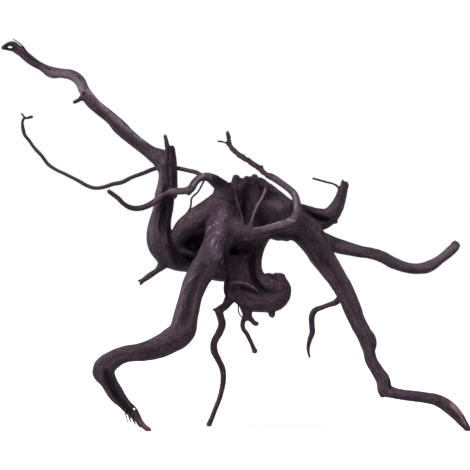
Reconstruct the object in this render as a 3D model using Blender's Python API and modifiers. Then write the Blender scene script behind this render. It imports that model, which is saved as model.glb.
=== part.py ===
"""A spiderwood root: one dark, dried root clump that stands on three of its own tips.

The wood grew as one, so it is one solid. Every limb is a run of knots, (x, y, z, radius) in
millimetres: x to the right, y away from the viewer, z up from the ground the tips stand on.
"""

import bmesh
import bpy
import numpy as np
from mathutils import Vector

MM = 0.001
NAME = "spiderwood_root"

# How the limbs are made up from their knots
SIDES = 24          # points round a section
RIDGES = [(2, 0.04), (3, 0.05), (5, 0.03)]    # ridges round a section and how far they stand out
SECTIONS = 4        # different sections, used in turn
TWIST = 0.012       # turn of the ridges along a limb, radians a millimetre
THIN = 1.15         # no twig is thinner than this radius

# How the limbs are grown together
BODY_CELL = 1.3     # cell of the remesh that joins the body, before its hollows are cut
CELL = 0.95         # cell of the remesh that joins them all
SMOOTHING = 3
TAPER = 12          # length over which a furrow fades out at each end
FACES = 8800        # triangles kept

# The body: the stump in the middle, its jagged top and the shoulders either side
BODY = {
    "stump": [(11, 0, 189, 21), (12, 2, 207, 23), (14, 3, 224, 20), (14, 4, 237, 16.5)],
    "crown left": [(1.5, -4, 234, 7), (1.5, -5, 250.5, 5)],
    "crown middle": [(10, -8, 240, 7), (11, -7, 248.5, 5.4)],
    "crown right": [(19, -5, 238, 8), (19, -6, 250, 5.8)],
    "crown far right": [(26.5, -2, 239, 7), (26.5, -3, 247.5, 5)],
    "crown back": [(15, 14, 232, 8), (15, 16, 243, 7)],
    "crown back left": [(3, 12, 230, 8), (3, 14, 241, 6)],
    "left shoulder": [(2, 2, 216, 17), (-13, -2, 220, 16.3), (-28.5, -6, 215.2, 13.2),
                      (-41.5, -9, 207.5, 11.5), (-51.5, -9, 199.5, 10.3), (-56.5, -7, 190, 8.3),
                      (-55, -5, 181.5, 5.8), (-49, -6, 176.5, 3.6), (-42, -4, 174.5, 3.2),
                      (-34, 2, 173, 6)],
    "left hollow floor": [(-7, 18, 194, 17), (-27, 21, 190, 14), (-45, 19, 187, 12), (-63, 12, 181, 10.5)],
    "neck of the curl": [(1, 0, 224, 16), (-12.5, -1, 232, 13.5)],
    "right bridge": [(5, 4, 214, 21), (33, 3, 215, 18.5), (50, 1, 206.7, 19.4)],
    "column": [(9, 0, 197, 20), (8.5, 2, 177, 17.3), (9, 2, 157, 17), (14, 0, 138, 17.2),
               (28, -3, 133, 15), (40.2, -5, 135.3, 14.2), (43, -5, 148.3, 10.2)],
    "hook": [(29.5, -2, 147.3, 9.6), (36, -3, 143.5, 9.8)],
    "strand beside the column": [(28, -4, 197, 9), (24.4, -6, 184, 6.6), (22, -7, 167, 4.8),
                                 (24.5, -8, 153, 5), (34, -9, 144, 5.5)],
    "web under the brow": [(-8, -2, 196, 12), (-8, 1, 180, 11), (-6, 3, 165.2, 10)],
    "ledge on the column": [(-5, -14, 146, 2), (3, -17, 147.5, 2.4), (10, -18, 146, 2.5),
                            (17, -18, 142.5, 2.3), (23, -17, 138, 2)],
    "brow over the cavity": [(-11, -22, 203, 9.5), (3, -25, 198, 8), (16, -28, 196.5, 6)],
    "edge of the brow": [(1, -22, 190.5, 1.7), (8, -21.5, 190, 1.5), (14, -19.5, 188.5, 1.5),
                         (20, -15, 184, 1.5), (26, -11, 178, 1.7)],
    "rim of the round hollow": [(2.8, -14, 181.5, 0.9), (2.4, -14.5, 177.6, 1), (0.4, -15, 174.6, 1.1),
                                (-3, -14.5, 173.2, 1.4)],
    "torn edge of the curl": [(-11, -6, 243, 2), (-12.4, -7, 250.6, 0.9)],
    "torn edge beside it": [(-6.5, -6, 239, 2.4), (-8.6, -7, 247.4, 0.9)],
    "right rib of the stump": [(30, -9, 245, 2.6), (30.5, -14, 240, 2.2), (26.5, -20, 230, 1.8),
                               (22, -24, 223, 1.7), (19, -27, 216, 1.8), (17, -28, 208, 2.2),
                               (15.5, -28, 199, 4.5)],
    "left rib of the stump": [(0, -15, 241, 2.4), (1.5, -20, 228, 1.6), (4, -24, 220, 1.4),
                              (6.5, -27, 212, 1.5), (8.5, -28, 202, 2.6)],
}

# The three limbs it stands on
LEGS = {
    "front leg": [(-8, 6, 220, 13), (-11, -9, 209, 15.5), (-15, -22, 196, 15), (-21, -33, 181, 12.7),
                  (-26.5, -42, 167.5, 12.5), (-34.8, -50, 153.5, 12.2), (-41, -56, 140, 11.9),
                  (-44.3, -61, 127, 11.6), (-47.6, -66, 113.5, 12.3), (-52, -70, 98.5, 13.1),
                  (-64, -73, 90, 11.8), (-78.5, -74, 83, 10.5), (-93, -74, 79.5, 8.8),
                  (-107, -73, 77.5, 8.2), (-118.3, -71, 72.6, 8.8), (-128.5, -68, 62.4, 10.9),
                  (-124.2, -63, 50.5, 8.4), (-115.3, -57, 36.5, 7), (-109.6, -53, 27.6, 5.5),
                  (-104.8, -50, 20.4, 4.2), (-99.4, -48, 15.4, 3.9), (-94.6, -46, 10.4, 3.3),
                  (-90, -44, 4.8, 2.8), (-84.5, -42, 1.2, 2.4)],
    "front shin edge": [(-129, -64, 54.3, 6), (-124.4, -59, 43.5, 5), (-118.8, -55, 33.5, 4.2),
                        (-115.2, -53, 27.6, 2.5)],
    "front shin strand": [(-110.7, -52, 35, 3), (-104.1, -48, 27.9, 2), (-99.6, -46, 24.4, 1.2),
                          (-96.7, -45, 20.6, 1.2), (-94.7, -45, 16.7, 1.3), (-93.2, -45, 12.5, 1.3)],
    "right leg": [(50, 1, 206.7, 18.4), (66.4, -3, 200.4, 15.3), (78, -7, 187.8, 13.6),
                  (87.8, -11, 171.7, 12), (96.6, -14, 159, 10.4), (105.2, -17, 145.3, 9.5),
                  (112.2, -19, 132.5, 9), (117.3, -21, 119.4, 8.3), (122.6, -22, 106.3, 7.7),
                  (129.2, -23, 93.3, 7.9), (132.4, -24, 81.6, 6.5), (135, -25, 69.6, 6.1),
                  (141.3, -26, 58.6, 6.5), (147, -27, 49, 7.2), (149, -28, 41, 7.2),
                  (157, -30, 37.2, 5.9), (165.6, -32, 35.4, 5.4), (177.4, -34, 34.2, 5.6),
                  (190, -36, 32.7, 5.5), (201.5, -37, 30.2, 6), (211.5, -38, 24.2, 6.5),
                  (219.2, -39, 16.8, 5.9), (224.8, -40, 9.7, 4.7), (229.2, -40, 3.8, 3.4),
                  (231.7, -40, 1.1, 2.5)],
    "bump on the shin": [(136, -23, 93, 3.6), (137.4, -23, 89, 3.5)],
    "right heel": [(147.6, -28, 40, 6.3), (146.6, -28, 35.2, 3.9)],
    "third leg": [(-2, -6, 135, 6), (-6, -7, 129, 5), (-9.5, -7, 123.6, 4), (-15.5, -6, 118.6, 4.2),
                  (-14.5, -3, 112, 3.6), (-13, 1, 105, 3.8), (-16, 7, 96, 3.7), (-20.4, 13, 87.7, 3.5),
                  (-21, 19, 78.5, 3.5), (-16.6, 26, 68.2, 3.1), (-12.4, 33, 58, 3), (-11.8, 39, 47.6, 2.8),
                  (-13.3, 44, 37.3, 2.7), (-16.2, 48, 27, 2.5), (-20.3, 51, 16.8, 2.5),
                  (-24.3, 53, 6.6, 2.5), (-26.7, 54, 1.5, 2.7)],
    "elbow of the third leg": [(-17, -6, 119, 3), (-21.4, -6, 119.4, 1.5)],
    "twig off the right leg": [(110, -17, 137, 6), (104, -12, 130, 3.8), (100.6, -9, 126.7, 3.3),
                               (94, -5, 124.3, 2.7), (87, -1, 121.6, 2.6), (80, 2, 118.5, 3),
                               (76.9, 4, 112.4, 3.2), (76.9, 6, 104, 2.9), (77.4, 7, 96.3, 2.8),
                               (75.2, 8, 89.8, 2.6), (73.7, 9, 83.7, 2), (73.4, 9, 77.7, 1.3),
                               (75, 10, 71.2, 0.6)],
}

# The limbs that reach out into the air
ARMS = {
    "left limb": [(8, 6, 165, 13), (-11, 10, 159.8, 12), (-29, 11, 162, 11), (-45, 9, 166.5, 10.3),
                  (-60, 4, 171, 12), (-71.3, 0, 181.5, 13.6), (-75, -1, 193, 13.4),
                  (-74.2, 0, 205, 11.3), (-72, 2, 219, 10.3), (-70.4, 4, 233, 10),
                  (-68.1, 6, 247, 9.3), (-68.1, 8, 259, 9.6), (-73.2, 9, 268.5, 9.8),
                  (-83.6, 13, 275.6, 6.9), (-94.6, 17, 284, 6), (-105.6, 22, 293, 6),
                  (-116.2, 28, 303.2, 6.6), (-125.4, 34, 312.3, 5.8), (-136.4, 39, 321.3, 6),
                  (-146.4, 45, 330.6, 6.1), (-153, 51, 341.4, 5.4), (-157.7, 55, 350.7, 5.3),
                  (-164.3, 56, 355.8, 5.2), (-175.5, 56, 358.1, 5), (-185.6, 56, 358.9, 5.8),
                  (-195.8, 58, 364.2, 4.4), (-205.1, 60, 369.4, 4.8), (-212.3, 62, 375.3, 4.9),
                  (-219.6, 64, 382.4, 4.7)],
    "upper half of the beak": [(-220.4, 64, 383.8, 3.3), (-226, 64, 388.3, 2.8),
                               (-231.2, 64, 387.9, 1.9), (-237.4, 64, 384, 1.2)],
    "lower half of the beak": [(-220.4, 65, 379.2, 2.6), (-225.7, 66, 382.4, 1.7),
                               (-231.8, 66, 383.3, 1.2), (-237.3, 64, 383.2, 1)],
    "cut stub": [(-153.8, 45, 334, 3.3), (-158.3, 41, 330.1, 1.9), (-162.5, 38, 328.1, 1.8)],
    "spike": [(-68, 8, 269, 6), (-67, 8, 278, 3.4), (-68.3, 7, 286, 2.3), (-70, 7, 293.6, 1.4)],
    "splinter": [(-63, 8, 233, 5), (-61.4, 9, 249, 3.8), (-61.5, 10, 264, 3.7), (-62.3, 10, 275, 3.3),
                 (-63, 10, 282, 2.7)],
    "dark stub": [(-70, 2, 167, 6), (-77, 6, 159, 3.2), (-86, 10, 152.8, 2.9), (-94.3, 14, 147.3, 2.6)],
    "curl": [(-6, 0, 237, 8.5), (-14, -3, 243, 7), (-21.5, -6, 249, 5.6), (-28, -8, 252, 4.2),
             (-35, -10, 250.6, 3.7), (-40.5, -11, 245.6, 3.7), (-44, -12, 239.8, 3.9),
             (-51, -12, 237.8, 3.4), (-58, -12, 237.5, 3.5), (-65, -12, 236.5, 3.3),
             (-73.7, -12, 231.8, 3.1),
             (-83.6, -14, 224.9, 3), (-94.7, -17, 220.6, 2.7), (-104, -21, 221.3, 2.6),
             (-110.3, -24, 224.8, 2.4), (-115.6, -27, 230.2, 2.4), (-121, -30, 234.4, 2.3),
             (-125.4, -33, 237.6, 2.1)],
    "knot on the curl": [(-44.2, -12, 239, 3), (-46.2, -12, 234.3, 1.7)],
    "whip": [(-32, -7, 252, 2.4), (-39, 4, 256.6, 2.3), (-48.1, 12, 258.9, 2.2), (-57.3, 19, 261, 2.2),
             (-68.4, 24, 262.4, 2.2), (-80.6, 27, 260.8, 2.2), (-91.7, 29, 256.6, 2.1),
             (-103.8, 32, 252.3, 2), (-115.1, 36, 247, 2.2), (-123.1, 38, 245.5, 2),
             (-132.4, 40, 242.5, 1.8), (-141.5, 42, 241.5, 1.8), (-148.7, 44, 243.6, 1.8),
             (-158.8, 46, 249.1, 1.6), (-171.1, 47, 255.4, 1.5), (-182.3, 49, 260.8, 1.5),
             (-189.4, 50, 265.9, 1.6), (-195.4, 49, 273.9, 1.5), (-203.1, 49, 282.1, 1.5),
             (-208, 49, 289.1, 1.4), (-213.1, 48, 295.8, 1.6), (-214.1, 48, 299.3, 1.9),
             (-215, 46, 306.4, 1.3), (-213.8, 44, 311.4, 1.4), (-210.1, 41, 312.2, 1.4),
             (-205, 38, 313.4, 1.5)],
    "second tip of the whip": [(-212.3, 42, 312.7, 1.1), (-215.8, 42, 316.6, 0.9)],
    "loop": [(9, -26, 195, 7), (18, -29, 195.5, 6), (27, -31, 197.5, 5.1), (37, -33, 200.6, 4.8),
             (46.6, -35, 203.2, 4.9), (55, -37, 206, 5.2), (60.4, -38, 211.8, 5), (61.7, -38, 219.8, 4.2),
             (61, -37, 226.7, 3.7), (58.8, -36, 234.2, 3.4), (53.5, -35, 239.8, 3.2),
             (46.6, -34, 245, 3.2),
             (39, -33, 250.3, 3.4), (30.7, -32, 254.7, 3), (22.8, -31, 261, 3), (13.9, -30, 267.4, 2.8),
             (5, -29, 273, 2.4), (-2, -28, 278.4, 2.3), (-5.5, -27, 283.4, 2.4), (-6.4, -26, 289.4, 1.9),
             (-7.4, -25, 295.8, 1.9)],
    "second tip of the loop": [(-6.5, -27, 284.4, 1.4), (-11, -29, 286.2, 0.9), (-17, -31, 287.1, 0.8)],
    "thorn on the loop": [(28, -32, 258.5, 1.9), (26.8, -33, 263.7, 1)],
    "claw": [(27, -2, 244, 5.8), (41, 2, 233.3, 6), (55, 6, 221.6, 7), (70.2, 10, 215.4, 7.9),
             (83.3, 14, 212, 8.2), (94.2, 17, 212.6, 8.2), (101.4, 19, 220.3, 7.3), (105.8, 21, 230.2, 5.7),
             (108.6, 23, 239.3, 4.9), (111.2, 24, 245.3, 3.7)],
    "heel of the claw": [(84, 14, 205.6, 6.4), (91, 15, 205.8, 5.2), (98, 16, 208.3, 3.8),
                         (102, 17, 207, 2.2)],
    "claw point": [(108, 22, 240, 3), (108.3, 22, 249.2, 1.4)],
    "claw twig": [(106, 22, 239.5, 1.6), (101.5, 18, 244, 1), (90.3, 12, 247.4, 0.8), (78, 6, 250.7, 0.6)],
    "tail": [(70, 9, 197, 11), (83.3, 15, 190, 8.7), (95.5, 21, 185.4, 7.6), (110.8, 27, 181, 6.7),
             (126.1, 33, 177.2, 5.9), (138.4, 39, 175.3, 5.6), (148.6, 44, 171.8, 5.9),
             (159.2, 50, 166.2, 5.8), (172.5, 56, 161.6, 5.4), (185.9, 63, 160, 5.6),
             (198.4, 69, 162.5, 5.9), (209.4, 73, 169.3, 4.9), (219.9, 78, 177.6, 5),
             (226.3, 80, 183.8, 4.8)],
    "neck of the tap root": [(12, -2, 129, 9), (12, -4, 118, 5.5), (12.5, -5, 112, 4.2)],
    "tap root stub": [(13, -5, 113, 3.4), (17, -6, 108.5, 2.7), (20.5, -7, 105.3, 2.2),
                      (22.5, -7, 105.5, 1.9)],
    "tap root thread": [(10, -5, 112, 3), (7.7, -4, 106, 2.3), (8, -3, 101, 2.2), (12, -2, 95, 2.1),
                        (15.5, -1, 88, 2), (19, 0, 80, 2.1), (20, 0, 77.6, 2.7)],
    "knob under the hook": [(36.5, -5, 124, 4.7), (36.8, -6, 117, 3.6), (37, -7, 113.9, 3.3)],
    "rotted spike": [(-5, -6, 150, 5), (-7.3, -8, 142, 4.6), (-7.5, -8, 135, 3.5)],
    "stub at the back": [(15, 14, 204, 14), (22, 32, 211, 9), (29, 42, 214, 6.5), (34, 48, 213, 5)],
}

# Hollows cut out of it, as limbs of air
HOLLOWS = {
    "between the ribs": [(14, -21, 243, 8), (14, -20, 234, 10.5), (13, -19, 224, 8.5),
                         (12, -20, 213, 6), (11.5, -26, 204, 3.5)],
    "under the brow": [(-6, -16, 182, 5), (1, -15, 181, 7.2), (9, -15, 181, 7.8), (15, -14, 179, 6),
                       (19, -14, 171, 3.6)],
    "round hollow under the brow": [(-1.5, -20, 178.7, 4.2), (-1.5, -3, 178.5, 4.4)],
}

# Furrows, and raised edges where the depth is negative: the side of the wood they are on
# (-1 front, 1 back), how far back they reach (y from, y to), half width, depth, then (x, z) along them
FURROWS = [
    (-1, (-14, 20), 9, 7, [(-51, 185), (-38, 189)]),                                # left hollow
    (-1, (-22, 12), 3.6, 5, [(17, 178), (16, 162), (18, 150), (23, 142), (30, 137), (38, 138)]),
    (-1, (-26, 12), 4, 2.4, [(-4, 142), (6, 142.5), (14, 138.5), (20, 133)]),       # under the ledge
    (-1, (-52, -20), 1.7, 2.5, [(-13.5, 172), (-12.3, 168)]),                       # nicks of the front leg
    (-1, (-52, -20), 1.5, 2.2, [(-14.8, 165), (-14, 162)]),
    # groove and splinter side of the upright
    (-1, (-16, 22), 4, 6, [(-67, 246), (-70, 230), (-72, 215), (-73.5, 203), (-73, 186), (-66, 176)]),
    (-1, (-10, 24), 2.6, 3.5, [(-66, 288), (-66, 262), (-65, 236)]),                # beside the splinter
    # ridge down the front leg, with a groove on either side of it
    (-1, (-84, -26), 3, -1.6, [(-44, 156), (-51, 138), (-54, 120), (-59, 104), (-68, 95)]),
    (-1, (-84, -26), 6.5, 2.6, [(-37, 158), (-43, 138), (-46, 120), (-51, 101), (-63, 90)]),
    (-1, (-84, -26), 3.4, 4, [(-124.5, 64), (-126.5, 53), (-123, 43), (-115.5, 35), (-107, 25)]),
    (-1, (-12, 32), 3.5, 4, [(66, 218), (84, 209.5), (98, 208)]),                   # under the claw
    (-1, (50, 72), 1.4, 2.5, [(-234, 383.6), (-224, 384)]),                         # slit of the beak
    (-1, (30, 60), 2, 3, [(-153, 336), (-152, 337)]),                               # knot hole
    (-1, (-45, -15), 2.2, 4, [(153.5, 51), (154.3, 46), (153.5, 42)]),       # hole in the heel
    (-1, (-65, -35), 1.4, 2.5, [(-102.2, 26), (-98.2, 21), (-96, 15)]),             # slit of the foot
    (-1, (-30, 30), 2.4, 2.6, [(86.5, 197), (92, 188), (98, 178)]),                 # between leg and tail
    # long dip down the right leg, then the back
    (-1, (-45, 15), 5, 2.4, [(76, 192), (92, 163), (104, 143), (114, 122), (124, 100)]),
    (1, (-10, 45), 8, 6, [(0, 224), (10, 207), (14, 187)]),
    (1, (-10, 45), 7, 6, [(26, 205), (56, 206)]),
    (1, (-10, 45), 3.5, 4, [(-71, 250), (-75, 222), (-73, 200), (-58, 176)]),
    (1, (-60, 0), 3, 3, [(-25, 168), (-40, 145), (-46, 122), (-60, 94)]),
    (1, (-40, 20), 3, 2.5, [(73, 194), (92, 163), (108, 138), (122, 108)]),
    (1, (-10, 45), 4, 4, [(6, 182), (12, 160), (22, 138)]),
]


def clear_scene():
    """Starts from an empty scene."""
    for obj in list(bpy.data.objects):
        bpy.data.objects.remove(obj)


def wood_material():
    """Dark purple-brown dried wood."""
    material = bpy.data.materials.new("dark spiderwood")
    material.use_nodes = True
    shader = material.node_tree.nodes["Principled BSDF"]
    shader.inputs["Base Color"].default_value = (0.055, 0.036, 0.042, 1)
    shader.inputs["Roughness"].default_value = 0.8
    shader.inputs["Metallic"].default_value = 0
    material.diffuse_color = (0.055, 0.036, 0.042, 1)
    return material


def section(number, guides):
    """A ridged ring of radius 1, the cross-section of a limb."""
    phase = np.random.default_rng(number).uniform(0, 2 * np.pi, len(RIDGES))
    angle = np.arange(SIDES) * 2 * np.pi / SIDES
    reach = 1 + sum(height * np.sin(count * angle + start)
                    for (count, height), start in zip(RIDGES, phase))
    outline = bpy.data.curves.new(f"section {number}", "CURVE")
    outline.dimensions = "2D"
    ring = outline.splines.new("POLY")
    ring.points.add(SIDES - 1)
    ring.use_cyclic_u = True
    for point, a, r in zip(ring.points, angle, reach):
        point.co = (r * MM * np.cos(a), r * MM * np.sin(a), 0, 1)
    guide = bpy.data.objects.new(f"section {number}", outline)
    guide.hide_render = True
    guide.display_type = "WIRE"
    guides.objects.link(guide)
    return guide


def rounded(knots):
    """The knots with one more, smaller, beyond each end, so that the limb ends in a dome."""
    knots = np.array(knots, float)
    knots[:, 3] = np.maximum(knots[:, 3], THIN)
    ends = []
    for end, inner in ((knots[0], knots[1]), (knots[-1], knots[-2])):
        away = (end - inner)[:3]
        away /= np.linalg.norm(away)
        ends.append([*(end[:3] + 0.75 * end[3] * away), 0.45 * end[3]])
    return np.vstack([ends[0], knots, ends[1]])


def limb(name, knots, guide, guides):
    """One closed limb: a curve through its knots with a ridged section that turns as it runs."""
    knots = rounded(knots)
    path = bpy.data.curves.new(name, "CURVE")
    path.dimensions = "3D"
    path.resolution_u = 5
    path.bevel_mode = "OBJECT"
    path.bevel_object = guide
    path.use_fill_caps = True
    run = path.splines.new("BEZIER")
    run.bezier_points.add(len(knots) - 1)
    run.radius_interpolation = "CARDINAL"
    length = np.concatenate([[0], np.cumsum(np.linalg.norm(np.diff(knots[:, :3], axis=0), axis=1))])
    for point, knot, travelled in zip(run.bezier_points, knots, length):
        point.co = Vector(knot[:3]) * MM
        point.radius = knot[3]
        point.tilt = TWIST * travelled
        point.handle_left_type = "AUTO"
        point.handle_right_type = "AUTO"
    curve = bpy.data.objects.new(name, path)
    guides.objects.link(curve)
    bpy.context.view_layer.update()
    seen = curve.evaluated_get(bpy.context.evaluated_depsgraph_get())
    data = bpy.data.meshes.new_from_object(seen)
    bpy.data.objects.remove(curve)
    return data


def joined(name, meshes, collection):
    """One object of all the meshes, with the tubes' end caps welded to them."""
    whole = bmesh.new()
    for data in meshes:
        whole.from_mesh(data)
    bmesh.ops.remove_doubles(whole, verts=whole.verts, dist=1e-6)
    data = bpy.data.meshes.new(name)
    whole.to_mesh(data)
    whole.free()
    obj = bpy.data.objects.new(name, data)
    collection.objects.link(obj)
    return obj


def add_skin(obj, cell):
    """Grows overlapping closed shapes together into one skin."""
    skin = obj.modifiers.new("skin", "REMESH")
    skin.mode = "VOXEL"
    skin.voxel_size = cell * MM


def grow(collection, guides, material):
    """All the limbs in one object, grown together into one skin."""
    sections = [section(number, guides) for number in range(SECTIONS)]
    limbs = {name: limb(name, knots, sections[number % SECTIONS], guides)
             for number, (name, knots) in enumerate([*BODY.items(), *LEGS.items(), *ARMS.items()])}
    body = joined("body", [limbs[name] for name in BODY], guides)
    air = joined("hollows", [limb(name, knots, sections[0], guides) for name, knots in HOLLOWS.items()],
                 guides)
    for guide in (body, air):
        guide.hide_render = True
        guide.display_type = "WIRE"
        add_skin(guide, BODY_CELL)
    cut = body.modifiers.new("hollows", "BOOLEAN")
    cut.object = air
    bake(body)
    root = joined(NAME, [body.data, *(limbs[name] for name in {**LEGS, **ARMS})], collection)
    add_skin(root, CELL)
    smooth = root.modifiers.new("smooth", "SMOOTH")
    smooth.factor = 0.5
    smooth.iterations = SMOOTHING
    bake(root)
    root.data.materials.clear()
    root.data.materials.append(material)
    return root


def bake(obj):
    """Puts what the modifiers make into the object's own mesh."""
    seen = obj.evaluated_get(bpy.context.evaluated_depsgraph_get())
    data = bpy.data.meshes.new_from_object(seen)
    obj.modifiers.clear()
    obj.data = data


def nearness(points, line, width, taper):
    """How near each (x, z) point is to a line: 1 on it, 0 at the given width, fading out at its ends."""
    line = np.array(line, float)
    steps = np.linalg.norm(np.diff(line, axis=0), axis=1)
    start = np.concatenate([[0], np.cumsum(steps)])
    nearest = np.full(len(points), np.inf)
    place = np.zeros(len(points))
    for i, length in enumerate(steps):
        run = line[i + 1] - line[i]
        share = np.clip((points - line[i]) @ run / length ** 2, 0, 1)
        gap = np.linalg.norm(points - line[i] - share[:, None] * run, axis=1)
        place = np.where(gap < nearest, start[i] + share * length, place)
        nearest = np.minimum(nearest, gap)
    fade = min(taper, start[-1] / 3)
    ends = np.clip((np.minimum(place, start[-1] - place) + 0.5) / (fade + 0.5), 0, 1)
    return np.clip(1 - (nearest / width) ** 2, 0, 1) ** 1.5 * ends


def furrow(root):
    """Presses the furrows and hollows into the side of the wood they are seen on."""
    data = root.data
    place = np.empty(len(data.vertices) * 3)
    data.vertices.foreach_get("co", place)
    place = place.reshape(-1, 3) / MM
    facing = np.array([vertex.normal.y for vertex in data.vertices])
    shift = np.zeros(len(place))
    for side, (y_from, y_to), width, depth, line in FURROWS:
        within = np.clip(np.minimum(place[:, 1] - y_from, y_to - place[:, 1]) / 4, 0, 1)
        push = within * np.clip(side * facing * 1.6, 0, 1) * nearness(place[:, [0, 2]], line, width, TAPER)
        shift -= side * depth * push
    place[:, 1] += shift
    data.vertices.foreach_set("co", (place * MM).ravel())
    data.update()


def thin_out(root):
    """Keeps the form with fewer, larger triangles."""
    sparse = root.modifiers.new("sparse", "DECIMATE")
    sparse.ratio = FACES / (2 * len(root.data.polygons))
    sparse.use_collapse_triangulate = True
    bake(root)


def stand(root):
    """Cuts the tips it stands on flat, level with the ground."""
    mesh = bmesh.new()
    mesh.from_mesh(root.data)
    whole = mesh.verts[:] + mesh.edges[:] + mesh.faces[:]
    bmesh.ops.bisect_plane(mesh, geom=whole, dist=1e-7, plane_co=(0, 0, 0), plane_no=(0, 0, 1),
                           clear_inner=True)
    rim = [edge for edge in mesh.edges if edge.is_boundary]
    bmesh.ops.holes_fill(mesh, edges=rim, sides=0)
    bmesh.ops.triangulate(mesh, faces=mesh.faces[:])
    mesh.to_mesh(root.data)
    mesh.free()


clear_scene()
parts = bpy.data.collections.new("spiderwood root")
bpy.context.scene.collection.children.link(parts)
shapes = bpy.data.collections.new("cutters and sections")
bpy.context.scene.collection.children.link(shapes)
wood = grow(parts, shapes, wood_material())
furrow(wood)
thin_out(wood)
stand(wood)
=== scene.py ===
"""Looks for the spiderwood root: fine dark wood over the same limbs, with hairs and frayed tips.

Numbers of the limbs are millimetres: x to the right, y away from the viewer, z up from the ground.
"""

import math

import bmesh
import bpy
import numpy as np
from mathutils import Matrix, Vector


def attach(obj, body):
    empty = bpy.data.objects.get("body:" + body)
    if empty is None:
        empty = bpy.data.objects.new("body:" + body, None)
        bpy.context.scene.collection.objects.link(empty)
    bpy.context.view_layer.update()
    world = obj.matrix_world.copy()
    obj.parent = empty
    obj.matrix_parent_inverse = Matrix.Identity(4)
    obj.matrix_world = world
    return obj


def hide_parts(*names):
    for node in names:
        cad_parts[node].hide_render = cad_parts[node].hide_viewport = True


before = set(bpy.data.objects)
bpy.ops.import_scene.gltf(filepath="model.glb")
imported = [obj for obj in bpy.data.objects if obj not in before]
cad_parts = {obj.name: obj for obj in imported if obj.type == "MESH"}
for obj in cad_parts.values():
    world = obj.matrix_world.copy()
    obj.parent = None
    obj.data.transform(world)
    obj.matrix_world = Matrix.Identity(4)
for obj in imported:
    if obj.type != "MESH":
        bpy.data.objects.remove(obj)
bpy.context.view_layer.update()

MM = 0.001
NODE = "spiderwood_root"

# How the limbs are made up from their knots
SIDES = 32          # points round a section
RIDGES = [(2, 0.04), (3, 0.05), (5, 0.02)]     # ridges round a section and how far they stand out
SECTIONS = 4        # different sections, used in turn
TWIST = 0.012       # turn of the ridges along a limb, radians a millimetre
THIN = 0.95         # no twig is thinner than this radius

# How the limbs are grown together
BODY_CELL = 1.3     # cell of the remesh that joins the body, before its hollows are cut
CELL = 0.8          # cell of the remesh that joins them all
FILLET = 5.0        # width of the soft joint between two limbs
TAPER = 12          # length over which a furrow fades out at each end
FACES = 190000      # triangles kept
POLISH = 2          # rounds of smoothing everywhere, to rub off the steps of the remesh
BLEND = 14          # rounds of smoothing in the joints between limbs
GRAIN_REACH = 1.6   # the furthest the grain moves the surface

# Camera: level, so far away that a millimetre takes one pixel of the picture's width
LENS = 300
SENSOR = 36
PICTURE = 470
CAMERA_HEIGHT = 0.194

# Studio: light from all round; the key light's direction, strength and width; the rim lamps' places,
# size and power, in metres and watts; half the floor's width
AMBIENT = 0.25
KEY_FROM = (-0.75, -1.0, 1.55)
KEY = 9.5
KEY_WIDTH = math.radians(55)
RIMS = {"rim left": (-2.0, 1.0, 1.0), "rim right": (2.0, 1.0, 1.0)}
RIM_SIZE = 1.2
RIM_POWER = 35
FLOOR = 12

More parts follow.
